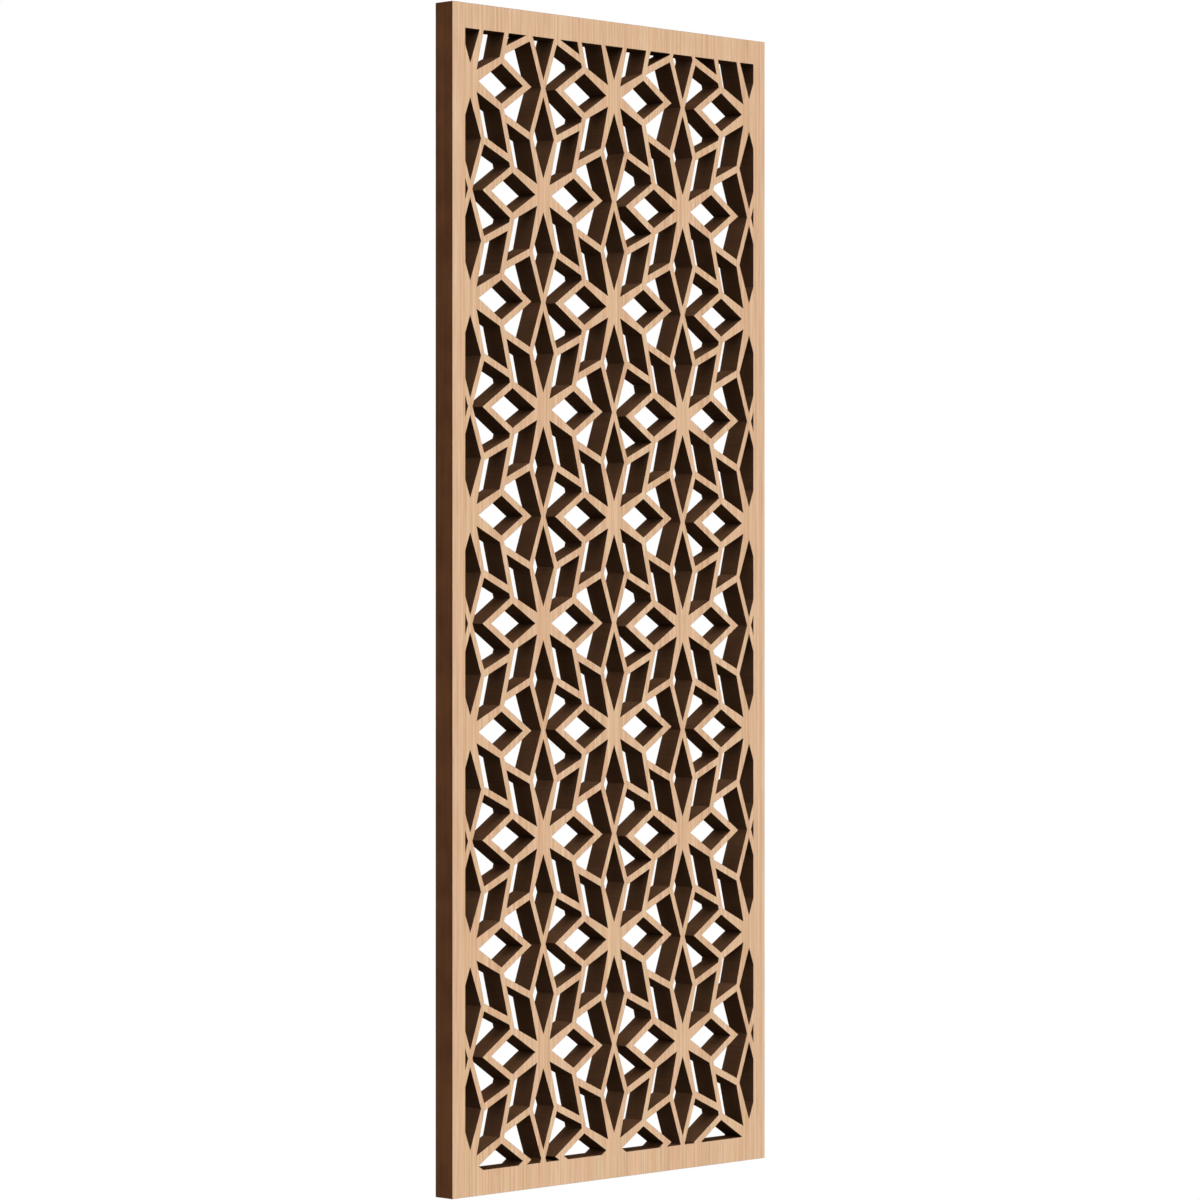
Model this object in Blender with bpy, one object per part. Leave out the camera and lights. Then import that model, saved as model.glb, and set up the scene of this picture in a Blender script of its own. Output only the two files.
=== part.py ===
"""Fretwork wall panel: one upright wooden board with a traditional eight-petalled star lattice cut through it.

Metres, +Z up. The front faces -Y and the back is the plane Y = 0. The origin is on the back of the board, at
the middle of the top rail, where the panel is fixed to a wall.

The lattice is a net of straight bars. Its stars stand in columns, and every other column is half a pitch lower.
Each opening is the polygon between the bars' centrelines, with every side moved in by half its bar's width.
"""

import math

import bmesh
import bpy
from mathutils import Vector

# Board
HEIGHT = 0.914
WIDTH = 0.356
THICKNESS = 0.0185

# Plain border round the lattice
RAIL = 0.0194
STILE = 0.0138

# Where the stars stand: the middle column is on the board's centreline
COLUMN_STEP = 0.0795
PITCH = 0.1665
FIRST_STAR_FROM_TOP = 0.0589
RIGHT_COLUMNS_DROP = 0.0026

# Corners of one star's petals, as shares of the column step (across) and of half the pitch (up)
DIAMOND_CORNER_ACROSS = 0.174
DIAMOND_CORNER_UP = 0.534
RHOMB_CORNER_ACROSS = 0.424
RHOMB_CORNER_UP = 0.222
RHOMB_TIP_ACROSS = 0.776

# A diamond's arm ends on the link to the next column's star, this far short of that star's rhomb
ARM_END_FROM_RHOMB = 0.007

# Widths of the bars: two kinds of spoke taper outwards from the star's hub
SPOKE_WIDTH_AT_HUB = 0.0095
DIAMOND_SPOKE_WIDTH = 0.0039
RHOMB_SPOKE_WIDTH = 0.0053
RHOMB_TIP_WIDTH = 0.0053
CROSSING_BAR_WIDTH = 0.0046
ARM_WIDTH = 0.0056
LINK_WIDTH = 0.0049

# The cutting shapes stand this far out of the board on both faces
CUT_MARGIN = 0.005

FACE_COLOUR = (0.723, 0.468, 0.287, 1.0)
FACE_ROUGHNESS = 0.45


def net_point(column, row):
    """Point of the star grid in the board's plane: a star where column + row is even, else a crossing."""
    drop = RIGHT_COLUMNS_DROP if column > 0 else 0.0
    top_edge = RAIL / 2
    return Vector((column * COLUMN_STEP, top_edge - FIRST_STAR_FROM_TOP - row * PITCH / 2 - drop))


def petal_corner(column, row, across, up):
    """Point at these shares of the column step and of half the pitch from a star."""
    return net_point(column, row) + Vector((across * COLUMN_STEP, up * PITCH / 2))


def diamond_corner(column, row, side, up):
    """Side corner of the tall diamond above (up 1) or below (up -1) a star."""
    return petal_corner(column, row, side * DIAMOND_CORNER_ACROSS, up * DIAMOND_CORNER_UP)


def rhomb_corner(column, row, side, up):
    """Upper or lower corner of the flat rhomb on one side of a star."""
    return petal_corner(column, row, side * RHOMB_CORNER_ACROSS, up * RHOMB_CORNER_UP)


def rhomb_tip(column, row, side):
    """Outer corner of the flat rhomb on one side of a star."""
    return petal_corner(column, row, side * RHOMB_TIP_ACROSS, 0.0)


def lines_meet(first, second):
    """Point where two endless lines meet, each given by two of its points."""
    (start, end), (other_start, other_end) = first, second
    along = end - start
    other_along = other_end - other_start
    share = (other_start - start).cross(other_along) / along.cross(other_along)
    return start + along * share


def arm_end(column, row, side, up):
    """Point where the arm from a diamond's corner meets the link between this star and the next column's.

    The arm keeps the direction it has in an even net. Where the next column is dropped, it meets the real link
    a little nearer or farther along.
    """
    start = rhomb_corner(column, row, side, up)
    even_end = petal_corner(column, row, side * (1 - RHOMB_CORNER_ACROSS), up * (1 - RHOMB_CORNER_UP))
    aim = even_end + (start - even_end).normalized() * ARM_END_FROM_RHOMB
    link = (start, rhomb_corner(column + side, row - up, -side, -up))
    return lines_meet((diamond_corner(column, row, side, up), aim), link)


def opening(corners, widths):
    """Outline of the opening inside a ring of bars.

    corners are those of the bars' centrelines, in order. widths holds each bar's width at its start and at its
    end. Each side moves inwards by half its bar's width, and is cut where it meets its neighbours. A side that
    they leave no length for drops out, and its neighbours meet each other.
    """
    sides = list(zip(corners, corners[1:] + corners[:1]))
    doubled_area = sum(start.cross(end) for start, end in sides)
    turn = math.copysign(1.0, doubled_area)
    moved = []
    for (start, end), (start_width, end_width) in zip(sides, widths):
        along = (end - start).normalized()
        inwards = Vector((-along.y, along.x)) * turn
        moved.append((start + inwards * start_width / 2, end + inwards * end_width / 2))
    while True:
        outline = [lines_meet(moved[index - 1], moved[index]) for index in range(len(moved))]
        lengths = []
        for start, end, (side_start, side_end) in zip(outline, outline[1:] + outline[:1], moved):
            lengths.append((end - start).dot(side_end - side_start) / (side_end - side_start).length)
        shortest = min(lengths)
        if shortest > 0:
            return outline
        moved.pop(lengths.index(shortest))


def diamond(column, row, up):
    """Tall petal from a star to the crossing above or below it."""
    corners = [
        net_point(column, row),
        diamond_corner(column, row, 1, up),
        net_point(column, row - up),
        diamond_corner(column, row, -1, up),
    ]
    spoke = (SPOKE_WIDTH_AT_HUB, DIAMOND_SPOKE_WIDTH)
    crossing_bar = (CROSSING_BAR_WIDTH, CROSSING_BAR_WIDTH)
    return opening(corners, [spoke, crossing_bar, crossing_bar, spoke[::-1]])


def rhomb(column, row, side):
    """Flat petal on one side of a star."""
    corners = [
        net_point(column, row),
        rhomb_corner(column, row, side, 1),
        rhomb_tip(column, row, side),
        rhomb_corner(column, row, side, -1),
    ]
    spoke = (SPOKE_WIDTH_AT_HUB, RHOMB_SPOKE_WIDTH)
    tip = (RHOMB_TIP_WIDTH, RHOMB_TIP_WIDTH)
    return opening(corners, [spoke, tip, tip, spoke[::-1]])


def slanted_petal(column, row, side, up):
    """Petal between a star's rhomb and its diamond, closed by the link and by the diamond's arm."""
    corners = [
        net_point(column, row),
        rhomb_corner(column, row, side, up),
        arm_end(column, row, side, up),
        diamond_corner(column, row, side, up),
    ]
    widths = [
        (SPOKE_WIDTH_AT_HUB, RHOMB_SPOKE_WIDTH),
        (LINK_WIDTH, LINK_WIDTH),
        (ARM_WIDTH, ARM_WIDTH),
        (DIAMOND_SPOKE_WIDTH, SPOKE_WIDTH_AT_HUB),
    ]
    return opening(corners, widths)


def chevron(column, row, side):
    """Bent opening between a rhomb's tip and the next column's crossing."""
    upper = [
        rhomb_corner(column, row, side, 1),
        arm_end(column + side, row - 1, -side, -1),
        diamond_corner(column + side, row - 1, -side, -1),
    ]
    lower = [
        diamond_corner(column + side, row + 1, -side, 1),
        arm_end(column + side, row + 1, -side, 1),
        rhomb_corner(column, row, side, -1),
    ]
    corners = upper + [net_point(column + side, row)] + lower + [rhomb_tip(column, row, side)]
    half = [LINK_WIDTH, ARM_WIDTH, CROSSING_BAR_WIDTH]
    widths = half + half[::-1] + [RHOMB_TIP_WIDTH, RHOMB_TIP_WIDTH]
    return opening(corners, [(width, width) for width in widths])


def lattice_openings():
    """Outlines of every opening that reaches into the board, the border not yet taken off."""
    columns = math.ceil(WIDTH / 2 / COLUMN_STEP) + 1
    rows = math.ceil(HEIGHT / (PITCH / 2)) + 1
    outlines = []
    for column in range(-columns, columns + 1):
        for row in range(-2, rows + 1):
            if (column + row) % 2:
                continue
            outlines += [diamond(column, row, up) for up in (1, -1)]
            for side in (1, -1):
                outlines.append(rhomb(column, row, side))
                outlines.append(chevron(column, row, side))
                outlines += [slanted_petal(column, row, side, up) for up in (1, -1)]
    return outlines


def new_collection(name):
    """Empty collection linked to the scene."""
    collection = bpy.data.collections.new(name)
    bpy.context.scene.collection.children.link(collection)
    return collection


def box(name, size, centre, collection):
    """Box of the given size about its centre, with its scale applied."""
    bpy.ops.mesh.primitive_cube_add(size=1.0, location=centre)
    made = bpy.context.active_object
    made.name = name
    made.data.name = name
    made.scale = size
    bpy.ops.object.transform_apply(location=False, rotation=False, scale=True)
    for owner in list(made.users_collection):
        owner.objects.unlink(made)
    collection.objects.link(made)
    return made


def as_cutter(made):
    """Mark an object as a cutting shape."""
    made.hide_render = True
    made.display_type = "WIRE"


def upright_prisms(name, outlines, depth, middle_y, collection):
    """One mesh of closed prisms: outlines drawn in the XZ plane, extruded along Y to the given depth."""
    curve = bpy.data.curves.new(name, "CURVE")
    curve.dimensions = "2D"
    curve.fill_mode = "BOTH"
    curve.extrude = depth / 2
    for outline in outlines:
        spline = curve.splines.new("POLY")
        spline.points.add(len(outline) - 1)
        for point, corner in zip(spline.points, outline):
            point.co = (corner.x, corner.y, 0.0, 1.0)
        spline.use_cyclic_u = True
    drawn = bpy.data.objects.new(name, curve)
    drawn.location = (0.0, middle_y, 0.0)
    drawn.rotation_euler = (math.radians(90.0), 0.0, 0.0)
    collection.objects.link(drawn)
    bpy.context.view_layer.update()

    evaluated = drawn.evaluated_get(bpy.context.evaluated_depsgraph_get())
    mesh = bpy.data.meshes.new_from_object(evaluated)
    mesh.name = name
    welded = bmesh.new()
    welded.from_mesh(mesh)
    bmesh.ops.remove_doubles(welded, verts=welded.verts, dist=0.000001)
    welded.to_mesh(mesh)
    welded.free()
    prisms = bpy.data.objects.new(name, mesh)
    prisms.matrix_world = drawn.matrix_world.copy()
    collection.objects.link(prisms)
    bpy.data.objects.remove(drawn)
    return prisms


def add_boolean(made, operation, cutter):
    """Exact Boolean modifier on an object."""
    modifier = made.modifiers.new(cutter.name, "BOOLEAN")
    modifier.operation = operation
    modifier.solver = "EXACT"
    modifier.object = cutter


def face_wood():
    """Pale, straight-grained wood with a satin finish."""
    material = bpy.data.materials.new("pale_wood")
    material.use_nodes = True
    shader = material.node_tree.nodes["Principled BSDF"]
    shader.inputs["Base Color"].default_value = FACE_COLOUR
    shader.inputs["Roughness"].default_value = FACE_ROUGHNESS
    shader.inputs["Metallic"].default_value = 0.0
    return material


def build_panel():
    """The board, with the part of the lattice that lies inside its border cut right through it."""
    parts = new_collection("fretwork_wall_panel")
    cutters = new_collection("cutters")

    middle_y = -THICKNESS / 2
    cut_depth = THICKNESS + 2 * CUT_MARGIN
    top = RAIL / 2

    board_centre = (0.0, middle_y, top - HEIGHT / 2)
    panel = box("fretwork_panel", (WIDTH, THICKNESS, HEIGHT), board_centre, parts)

    field_height = HEIGHT - 2 * RAIL
    field_size = (WIDTH - 2 * STILE, cut_depth + 2 * CUT_MARGIN, field_height)
    field_centre = (0.0, middle_y, top - RAIL - field_height / 2)
    field = box("lattice_field", field_size, field_centre, cutters)
    as_cutter(field)

    openings = upright_prisms("openings", lattice_openings(), cut_depth, middle_y, cutters)
    as_cutter(openings)
    add_boolean(openings, "INTERSECT", field)
    add_boolean(panel, "DIFFERENCE", openings)
    panel.data.materials.append(face_wood())


for existing in list(bpy.data.objects):
    bpy.data.objects.remove(existing, do_unlink=True)
build_panel()
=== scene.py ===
"""Looks of a fretwork wall panel: a veneered board with a star lattice cut right through it.

Metres, +Z up. The front faces -Y and the back is the plane Y = 0.
"""

import math

import bpy
import numpy as np
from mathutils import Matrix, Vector
from mathutils.geometry import delaunay_2d_cdt


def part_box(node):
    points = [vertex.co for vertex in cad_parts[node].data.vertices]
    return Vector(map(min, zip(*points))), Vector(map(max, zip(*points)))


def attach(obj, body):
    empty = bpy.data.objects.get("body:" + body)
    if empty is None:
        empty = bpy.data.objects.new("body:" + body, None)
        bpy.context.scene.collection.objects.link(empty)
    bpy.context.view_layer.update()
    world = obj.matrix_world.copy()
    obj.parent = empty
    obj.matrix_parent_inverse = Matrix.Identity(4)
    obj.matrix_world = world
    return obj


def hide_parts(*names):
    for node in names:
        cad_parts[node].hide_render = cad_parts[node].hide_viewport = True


MM = 0.001

# Points of the CAD mesh that are nearer to each other than this are one point
SAME_POINT = 0.001 * MM
# A point that is nearer than this to a side of the board's box lies on it
ON_SIDE = 0.01 * MM

# The rounded arris that sanding leaves along every cut edge. The stain of the edge covers it
ARRIS_RADIUS = 0.15 * MM
ARRIS_STEPS = 4

# The order of the board's materials
FRONT_SLOT, CUT_SLOT, OUTER_SLOT, BACK_SLOT = range(4)

# Most of a noise pattern lies between these two values
NOISE_LOW = 0.3
NOISE_HIGH = 0.7

# Where the photograph was taken from: level with the panel's middle, to the left of its front
PHOTO_TURN = math.radians(45.97)
PHOTO_FOCAL_PIXELS = 4510.6
PHOTO_PIXELS = 1200
PANEL_PIXELS_TALL = 1198.64
FRONT_LEFT_EDGE_PIXEL = 452.4
SENSOR_WIDTH_MM = 36.0
VIEW_REACH = 200.0

# The stage
FLOOR_RADIUS = 25.0
FLOOR_SIDES = 128
SURROUND_RADIUS = 40.0
SURROUND_SIDES = 64
SURROUND_LEVELS = 32
SKY_LEVEL = 0.45


def srgb(code):
    """Linear colour of a six-digit sRGB hex code."""
    channels = np.array([int(code[start:start + 2], 16) for start in (0, 2, 4)]) / 255
    linear = np.where(channels <= 0.04045, channels / 12.92, ((channels + 0.055) / 1.055) ** 2.4)
    return (*linear.tolist(), 1.0)


def add(tree, kind, settings=None, links=None, stops=None):
    """Add a node.

    Settings name its properties or its sockets, links name the sockets that others feed, and stops are the
    two ends of a colour ramp, each a position and a hex code.
    """
    made = tree.nodes.new(kind)
    for name, value in (settings or {}).items():
        if hasattr(made, str(name)):
            setattr(made, name, value)
        else:
            made.inputs[name].default_value = value
    for name, source in (links or {}).items():
        tree.links.new(source, made.inputs[name])
    if stops:
        for end, (position, code) in zip(made.color_ramp.elements, stops):
            end.position = position
            end.color = srgb(code)
    return made


def placed_object(name, content):
    """Object at the origin, unturned and unscaled, that holds a mesh, a light or a lens."""
    made = bpy.data.objects.new(name, content)
    bpy.context.scene.collection.objects.link(made)
    return made


# The board's surface

def merged_copy(node):
    """Corner points and triangles of a CAD node, with points that lie together made one."""
    mesh = node.data
    mesh.calc_loop_triangles()
    points = np.empty(len(mesh.vertices) * 3, np.float32)
    mesh.vertices.foreach_get("co", points)
    triangles = np.empty(len(mesh.loop_triangles) * 3, np.int32)
    mesh.loop_triangles.foreach_get("vertices", triangles)
    points = points.reshape(-1, 3).astype(float)
    cells = np.round(points / SAME_POINT)
    _, first, same = np.unique(cells, axis=0, return_index=True, return_inverse=True)
    return points[first], same.reshape(-1)[triangles].reshape(-1, 3)


def front_outline(points, triangles):
    """The front face seen flat: its corners (x, z), and the edges of its outline.

    An edge is on the outline where only one triangle uses it. It runs with the wood on its left.
    """
    front = points[:, 1].min()
    flat = triangles[(points[triangles, 1] < front + ON_SIDE).all(axis=1)]
    used, renumbered = np.unique(flat, return_inverse=True)
    flat = renumbered.reshape(-1, 3)
    edges = np.concatenate([flat[:, [0, 1]], flat[:, [1, 2]], flat[:, [2, 0]]])
    forwards = edges[:, 0] * len(used) + edges[:, 1]
    backwards = edges[:, 1] * len(used) + edges[:, 0]
    return points[used][:, [0, 2]], edges[~np.isin(forwards, backwards)]


def steps_into_wood(corners, outline):
    """For each corner, the step that takes it one unit away from both of its edges, into the wood.

    With unit normals n and m of the edges before and after the corner, the step is (n + m) / (1 + n . m).
    """
    along = corners[outline[:, 1]] - corners[outline[:, 0]]
    along /= np.linalg.norm(along, axis=1, keepdims=True)
    normals = np.stack([-along[:, 1], along[:, 0]], axis=1)
    before = np.zeros_like(corners)
    after = np.zeros_like(corners)
    before[outline[:, 1]] = normals
    after[outline[:, 0]] = normals
    return (before + after) / (1 + (before * after).sum(axis=1, keepdims=True))


def wood_inside(plan, outline):
    """Triangles of a face inside its outline: a Delaunay net, without what lies in the openings.

    A triangle is wood if a line from its middle towards +x crosses the outline an odd number of times.
    """
    whole_net, nearness = 0, 1e-9
    net = np.array(delaunay_2d_cdt(plan.tolist(), outline.tolist(), [], whole_net, nearness)[2])
    middle = plan[net].mean(axis=1)[:, None]
    start, end = plan[outline[:, 0]], plan[outline[:, 1]]
    along, across = end - start, middle - start
    on_left = along[:, 0] * across[..., 1] > along[:, 1] * across[..., 0]
    spans_height = (start[:, 1] > middle[..., 1]) != (end[:, 1] > middle[..., 1])
    crosses = spans_height & (on_left == (along[:, 1] > 0))
    return net[crosses.sum(axis=1) % 2 == 1]


def edge_profile(thickness):
    """Section of a cut edge from the front face to the back one, as distances into the wood and depths.

    A quarter circle leads into the straight wall: inset r (1 - sin t) and depth r (1 - cos t), for t from 0
    to a quarter turn. Its mirror image leads out of the wall at the back.
    """
    turn = np.linspace(0, math.pi / 2, ARRIS_STEPS + 1)
    inset = ARRIS_RADIUS * (1 - np.sin(turn))
    depth = ARRIS_RADIUS * (1 - np.cos(turn))
    return np.concatenate([inset, inset[::-1]]), np.concatenate([depth, thickness - depth[::-1]])


def fretwork_board(node):
    """The board as one closed surface: its two faces, and the edge profile carried along every outline.

    A point of the profile at inset i and depth d stands at corner + i * step into the wood, d behind the
    front. The two flat faces are bare veneer, and everything between them is stained.
    """
    points, triangles = merged_copy(node)
    low, high = points.min(axis=0), points.max(axis=0)
    corners, outline = front_outline(points, triangles)
    inset, depth = edge_profile(high[1] - low[1])
    plan = corners + inset[:, None, None] * steps_into_wood(corners, outline)
    places = np.empty((*plan.shape[:2], 3))
    places[..., [0, 2]] = plan
    places[..., 1] = low[1] + depth[:, None]

    rings, count = plan.shape[:2]
    start, end = outline.T
    ring = np.arange(rings - 1)[:, None] * count
    front = wood_inside(plan[0], outline)
    walls = np.stack([end + ring, start + ring, start + ring + count, end + ring + count], axis=-1)
    back = front[:, ::-1] + (rings - 1) * count
    faces = front.tolist() + walls.reshape(-1, 4).tolist() + back.tolist()

    # Walls inside the openings get a darker brown than the outer edges: the difference is painted shade
    limits = np.stack([low, high])[:, [0, 2]]
    on_limit = np.abs(corners - limits[:, None]) < ON_SIDE
    outer = (on_limit[:, start] & on_limit[:, end]).any(axis=(0, 2))
    wall_slots = np.tile(np.where(outer, OUTER_SLOT, CUT_SLOT), rings - 1)
    slots = np.concatenate([np.full(len(front), FRONT_SLOT), wall_slots, np.full(len(back), BACK_SLOT)])

    mesh = bpy.data.meshes.new("fretwork_board")
    mesh.from_pydata(places.reshape(-1, 3).tolist(), [], faces)
    mesh.polygons.foreach_set("material_index", slots.astype(np.int32))
    mesh.update()
    return placed_object("fretwork_board", mesh)


# Materials

def new_material(name):
    """Empty node material, and its node tree."""
    material = bpy.data.materials.new(name)
    material.use_nodes = True
    material.node_tree.nodes.clear()
    return material, material.node_tree


def marks(tree, size_mm, detail, roughness, shift=(0, 0, 0)):
    """Noise pattern of marks about size_mm long along x, y and z, and endless where that is None.

    The shift, counted in marks, picks another stretch of the same noise.
    """
    scale = [0 if size is None else 1 / (size * MM) for size in size_mm]
    place = add(tree, "ShaderNodeTexCoord").outputs["Object"]
    stretched = add(tree, "ShaderNodeMapping", {"Scale": scale, "Location": shift}, {"Vector": place})
    settings = {"Scale": 1.0, "Detail": detail, "Roughness": roughness}
    return add(tree, "ShaderNodeTexNoise", settings, {"Vector": stretched.outputs["Vector"]}).outputs["Fac"]


def glazed(tree, pattern, stops, glazes):
    """Pattern in its own two colours, under glazes that each multiply it by a pattern in two pale tones."""
    colour = add(tree, "ShaderNodeValToRGB", links={"Fac": pattern}, stops=stops).outputs["Color"]
    multiply = {"data_type": "RGBA", "blend_type": "MULTIPLY", 0: 1.0}
    for glaze, tones in glazes:
        tone = add(tree, "ShaderNodeValToRGB", links={"Fac": glaze}, stops=tones).outputs["Color"]
        colour = add(tree, "ShaderNodeMix", multiply, {6: colour, 7: tone}).outputs[2]
    return colour


def surfaced(tree, colour, pattern, relief, roughness, finish):
    """Close a material: the pattern gives its relief and spreads its roughness, and finish has the rest."""
    bump = add(tree, "ShaderNodeBump", relief, {"Height": pattern})
    ends = {"From Min": NOISE_LOW, "From Max": NOISE_HIGH, "To Min": roughness[0], "To Max": roughness[1]}
    dullness = add(tree, "ShaderNodeMapRange", ends, {"Value": pattern}).outputs["Result"]
    links = {"Base Color": colour, "Roughness": dullness, "Normal": bump.outputs["Normal"]}
    shader = add(tree, "ShaderNodeBsdfPrincipled", finish, links)
    add(tree, "ShaderNodeOutputMaterial", links={"Surface": shader.outputs["BSDF"]})


def quartered_veneer(name, light, dark, pink, straw, roughness, coat):
    """Quarter-cut veneer: straight growth lines that run the board's whole height, with its pores sealed."""
    material, tree = new_material(name)
    # Drift of colour over the leaf, groups of growth rings, single rings, and strands that break them up
    drift = marks(tree, (24, None, 9000), detail=0.0, roughness=0.5)
    growth = marks(tree, (8, None, 7000), detail=1.0, roughness=0.6, shift=(17, 0, 2))
    rings = marks(tree, (2.3, None, 900), detail=1.0, roughness=0.6, shift=(40, 0, 7))
    strands = marks(tree, (1.7, None, 55), detail=1.0, roughness=0.5, shift=(33, 0, 1))
    broad = add(tree, "ShaderNodeMix", {0: 0.5}, {2: drift, 3: growth}).outputs[0]
    fine = add(tree, "ShaderNodeMix", {0: 0.42}, {2: rings, 3: strands}).outputs[0]
    lines = add(tree, "ShaderNodeMix", {0: 0.7}, {2: broad, 3: fine}).outputs[0]

    # Streaks that run from pink to straw, and from rose to olive
    tint = marks(tree, (3.2, None, 5000), detail=1.0, roughness=0.6, shift=(70, 0, 4))
    blush = marks(tree, (4.5, None, 5000), detail=1.0, roughness=0.6, shift=(55, 0, 9))
    # Beech has pores a tenth of a millimetre wide. They are too fine to show, and are drawn 0.6 mm wide
    pores = marks(tree, (0.6, None, 14), detail=2.0, roughness=0.6, shift=(9, 0, 3))
    # Its ray flecks are about half a millimetre wide and a few millimetres tall
    flecks = marks(tree, (0.5, None, 3.5), detail=0.0, roughness=0.5, shift=(21, 0, 5))
    colour = glazed(tree, lines, [(0.38, dark), (0.62, light)], [
        (tint, [(0.35, pink), (0.65, straw)]),
        (blush, [(0.35, "FFFAFF"), (0.65, "FAFFFA")]),
        (pores, [(0.3, "F6F3F0"), (0.62, "FFFFFF")]),
        (flecks, [(0.16, "E8DBCF"), (0.26, "FFFFFF")]),
    ])

    relief = {"Strength": 0.35, "Distance": 0.03 * MM}
    finish = {"Metallic": 0.0, "IOR": 1.5, "Coat Weight": coat, "Coat Roughness": 0.35, "Coat IOR": 1.5}
    surfaced(tree, colour, pores, relief, (roughness - 0.05, roughness + 0.06), finish)
    return material


def stained_fibreboard(name, tool_marks_mm, light, dark, roughness):
    """Bare edge of fibreboard with its tool marks, under a brown stain that dries without a sheen."""
    material, tree = new_material(name)
    tool_marks = marks(tree, tool_marks_mm, detail=3.0, roughness=0.6)
    clouds = marks(tree, (30, 30, 30), detail=2.0, roughness=0.5, shift=(3, 5, 8))
    colour = glazed(tree, tool_marks, [(0.3, dark), (0.7, light)], [
        (clouds, [(0.3, "E4E0DC"), (0.65, "FFFFFF")]),
    ])

    relief = {"Strength": 0.4, "Distance": 0.06 * MM}
    finish = {"Metallic": 0.0, "IOR": 1.45, "Specular IOR Level": 0.0}
    surfaced(tree, colour, tool_marks, relief, (roughness + 0.06, roughness - 0.06), finish)
    return material


def board_finishes():
    """The board's four materials, in the order of its slots."""
    # Beech veneer, quarter-cut, sanded and lacquered: fine straight lines in pink and straw, and satin shine
    front = quartered_veneer("quartered_beech_veneer_satin", light="E6C8A4", dark="CDA27C",
                             pink="FFF7F0", straw="F8F8FD", roughness=0.47, coat=0.12)
    # Fibreboard core, cut with a fret saw and stained brown: dry. Painted shade makes it darker than the
    # outer edges, nearly black inside the openings. The marks of the saw lie 0.3 mm apart, too fine to show,
    # and are drawn 1.2 mm apart
    cut = stained_fibreboard("fretsawn_fibreboard_stain_and_painted_shade", (1.2, 30, 1.2),
                             light="483221", dark="412C1F", roughness=0.82)
    # The same core on the board's outer edges, planed and stained: a plain brown. Its pressed layers are
    # 0.5 mm thick, too fine to show, and are drawn 2.5 mm thick
    outer = stained_fibreboard("stained_planed_fibreboard", (160, 2.5, 160),
                               light="5A3A25", dark="4D311E", roughness=0.75)
    # Backing veneer, a plainer grade of the same wood, sanded and sealed without the last coat: duller
    back = quartered_veneer("backing_beech_veneer", light="E7C5A1", dark="CFA782",
                            pink="FFFAF4", straw="FAFAFD", roughness=0.56, coat=0.0)
    return front, cut, outer, back


# Studio

def glowing_screen(name, code):
    """Evenly lit screen, no brighter than white, so that thin bars in front of it keep their width."""
    material, tree = new_material(name)
    glow = add(tree, "ShaderNodeEmission", {"Color": srgb(code), "Strength": 1.0})
    add(tree, "ShaderNodeOutputMaterial", links={"Surface": glow.outputs["Emission"]})
    return material


def floor_disc(height):
    """Flat round floor in one face: its rim runs through radius * (cos t, sin t) at the given height."""
    turn = np.linspace(0, 2 * math.pi, FLOOR_SIDES, endpoint=False)
    rim = FLOOR_RADIUS * np.stack([np.cos(turn), np.sin(turn), np.zeros_like(turn)], axis=1)
    rim[:, 2] = height
    mesh = bpy.data.meshes.new("floor")
    mesh.from_pydata(rim.tolist(), [], [list(range(FLOOR_SIDES))])
    return placed_object("floor", mesh)


def surround_dome(middle):
    """Ball of points middle + radius * (cos u cos v, sin u cos v, sin v), seen from inside."""
    around = np.linspace(0, 2 * math.pi, SURROUND_SIDES, endpoint=False)
    up = np.linspace(-math.pi / 2, math.pi / 2, SURROUND_LEVELS + 2)[1:-1]
    grid = np.stack([
        np.cos(around) * np.cos(up)[:, None],
        np.sin(around) * np.cos(up)[:, None],
        np.repeat(np.sin(up)[:, None], SURROUND_SIDES, axis=1),
    ], axis=-1)
    points = np.concatenate([grid.reshape(-1, 3), [[0, 0, -1], [0, 0, 1]]])
    points = points * SURROUND_RADIUS + np.array(middle)

    number = np.arange(SURROUND_LEVELS * SURROUND_SIDES).reshape(SURROUND_LEVELS, SURROUND_SIDES)
    right = np.roll(number, -1, axis=1)
    quads = np.stack([number[:-1], right[:-1], right[1:], number[1:]], axis=-1).reshape(-1, 4)
    bottom = np.stack([right[0], number[0], np.full(SURROUND_SIDES, number.size)], axis=-1)
    top = np.stack([number[-1], right[-1], np.full(SURROUND_SIDES, number.size + 1)], axis=-1)
    mesh = bpy.data.meshes.new("surround")
    mesh.from_pydata(points.tolist(), [], quads.tolist() + bottom.tolist() + top.tolist())
    return placed_object("surround", mesh)


def soft_light(name, direction, spread_degrees, level):
    """Far wide softbox that lights every part alike. At level 1 a white sheet facing it is about white."""
    light = bpy.data.lights.new(name, "SUN")
    light.angle = math.radians(spread_degrees)
    light.energy = level * math.pi
    made = placed_object(name, light)
    made.matrix_world = Vector(direction).to_track_quat("Z", "Y").to_matrix().to_4x4()


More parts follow.
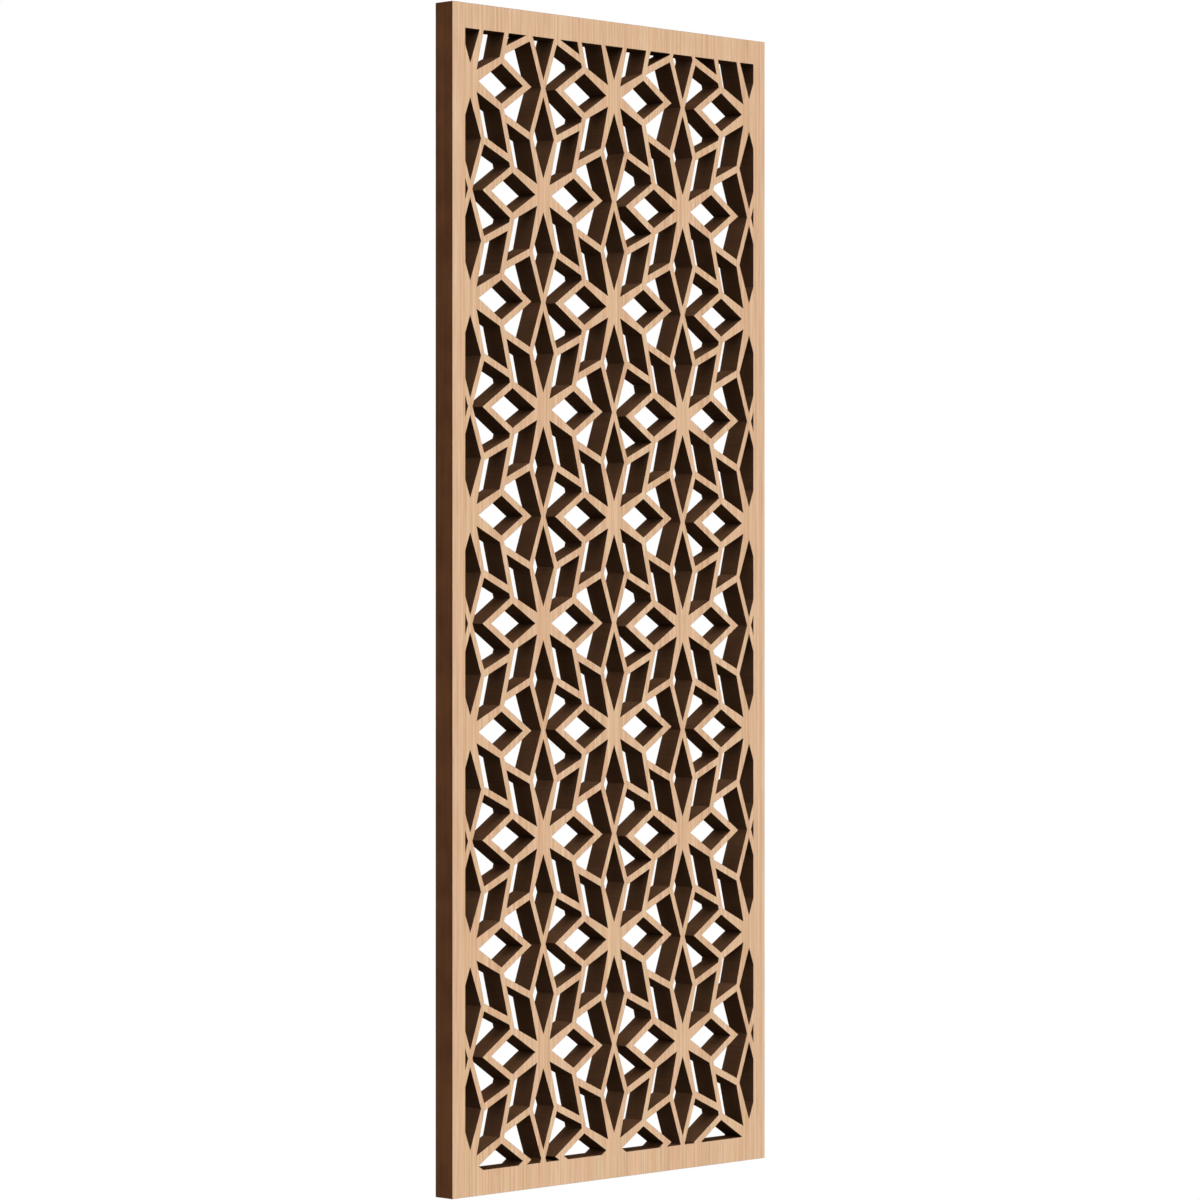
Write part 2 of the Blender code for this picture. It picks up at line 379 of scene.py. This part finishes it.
def studio(low, high):
    """White floor under the panel, a white surround, a dim even sky and three soft lights."""
    floor = floor_disc(low.z)
    floor.data.materials.append(glowing_screen("white_lit_floor", "FFFFFF"))
    surround = surround_dome((low + high) / 2)
    surround.data.materials.append(glowing_screen("white_screen", "FFFFFF"))
    # The panel takes its light and its reflections from the sky and the lights alone
    for staged in (floor, surround):
        staged.visible_diffuse = False
        staged.visible_glossy = False
    surround.visible_shadow = False

    world = bpy.data.worlds.new("even_sky")
    world.use_nodes = True
    sky = world.node_tree.nodes["Background"]
    sky.inputs["Color"].default_value = srgb("FFFFFF")
    sky.inputs["Strength"].default_value = SKY_LEVEL
    bpy.context.scene.world = world

    soft_light("overhead_light", direction=(-0.04, -0.05, 1.0), spread_degrees=75, level=1.75)
    soft_light("front_light", direction=(-0.25, -0.75, 0.55), spread_degrees=50, level=0.47)
    soft_light("back_light", direction=(-0.2, 0.75, 0.55), spread_degrees=50, level=0.45)


def photo_camera(low, high):
    """Level camera on the photograph's line of sight, placed by the pixel of the panel's near front edge."""
    forward = Vector((math.sin(PHOTO_TURN), math.cos(PHOTO_TURN), 0.0))
    right = Vector((math.cos(PHOTO_TURN), -math.sin(PHOTO_TURN), 0.0))
    distance = PHOTO_FOCAL_PIXELS * (high.z - low.z) / PANEL_PIXELS_TALL
    near_edge = Vector((low.x, low.y, (low.z + high.z) / 2))
    aside = (FRONT_LEFT_EDGE_PIXEL - PHOTO_PIXELS / 2) / PHOTO_FOCAL_PIXELS * distance
    lens = bpy.data.cameras.new("photo_camera")
    lens.sensor_width = SENSOR_WIDTH_MM
    lens.lens = PHOTO_FOCAL_PIXELS / PHOTO_PIXELS * SENSOR_WIDTH_MM
    lens.clip_end = VIEW_REACH
    camera = placed_object("photo_camera", lens)
    camera.location = near_edge - right * aside - forward * distance
    camera.rotation_euler = (math.radians(90.0), 0.0, -PHOTO_TURN)
    bpy.context.scene.camera = camera


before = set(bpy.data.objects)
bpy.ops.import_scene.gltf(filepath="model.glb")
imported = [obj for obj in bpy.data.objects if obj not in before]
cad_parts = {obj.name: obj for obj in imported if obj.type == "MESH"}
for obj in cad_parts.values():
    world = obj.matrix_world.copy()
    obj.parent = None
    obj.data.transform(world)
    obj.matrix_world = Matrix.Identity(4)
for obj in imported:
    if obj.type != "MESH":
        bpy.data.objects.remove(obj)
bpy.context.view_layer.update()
low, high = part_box("fretwork_panel")

bpy.context.scene.view_settings.view_transform = "Standard"
photo_camera(low, high)
studio(low, high)

board = fretwork_board(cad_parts["fretwork_panel"])
for finish in board_finishes():
    board.data.materials.append(finish)
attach(board, "root")
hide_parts("fretwork_panel")
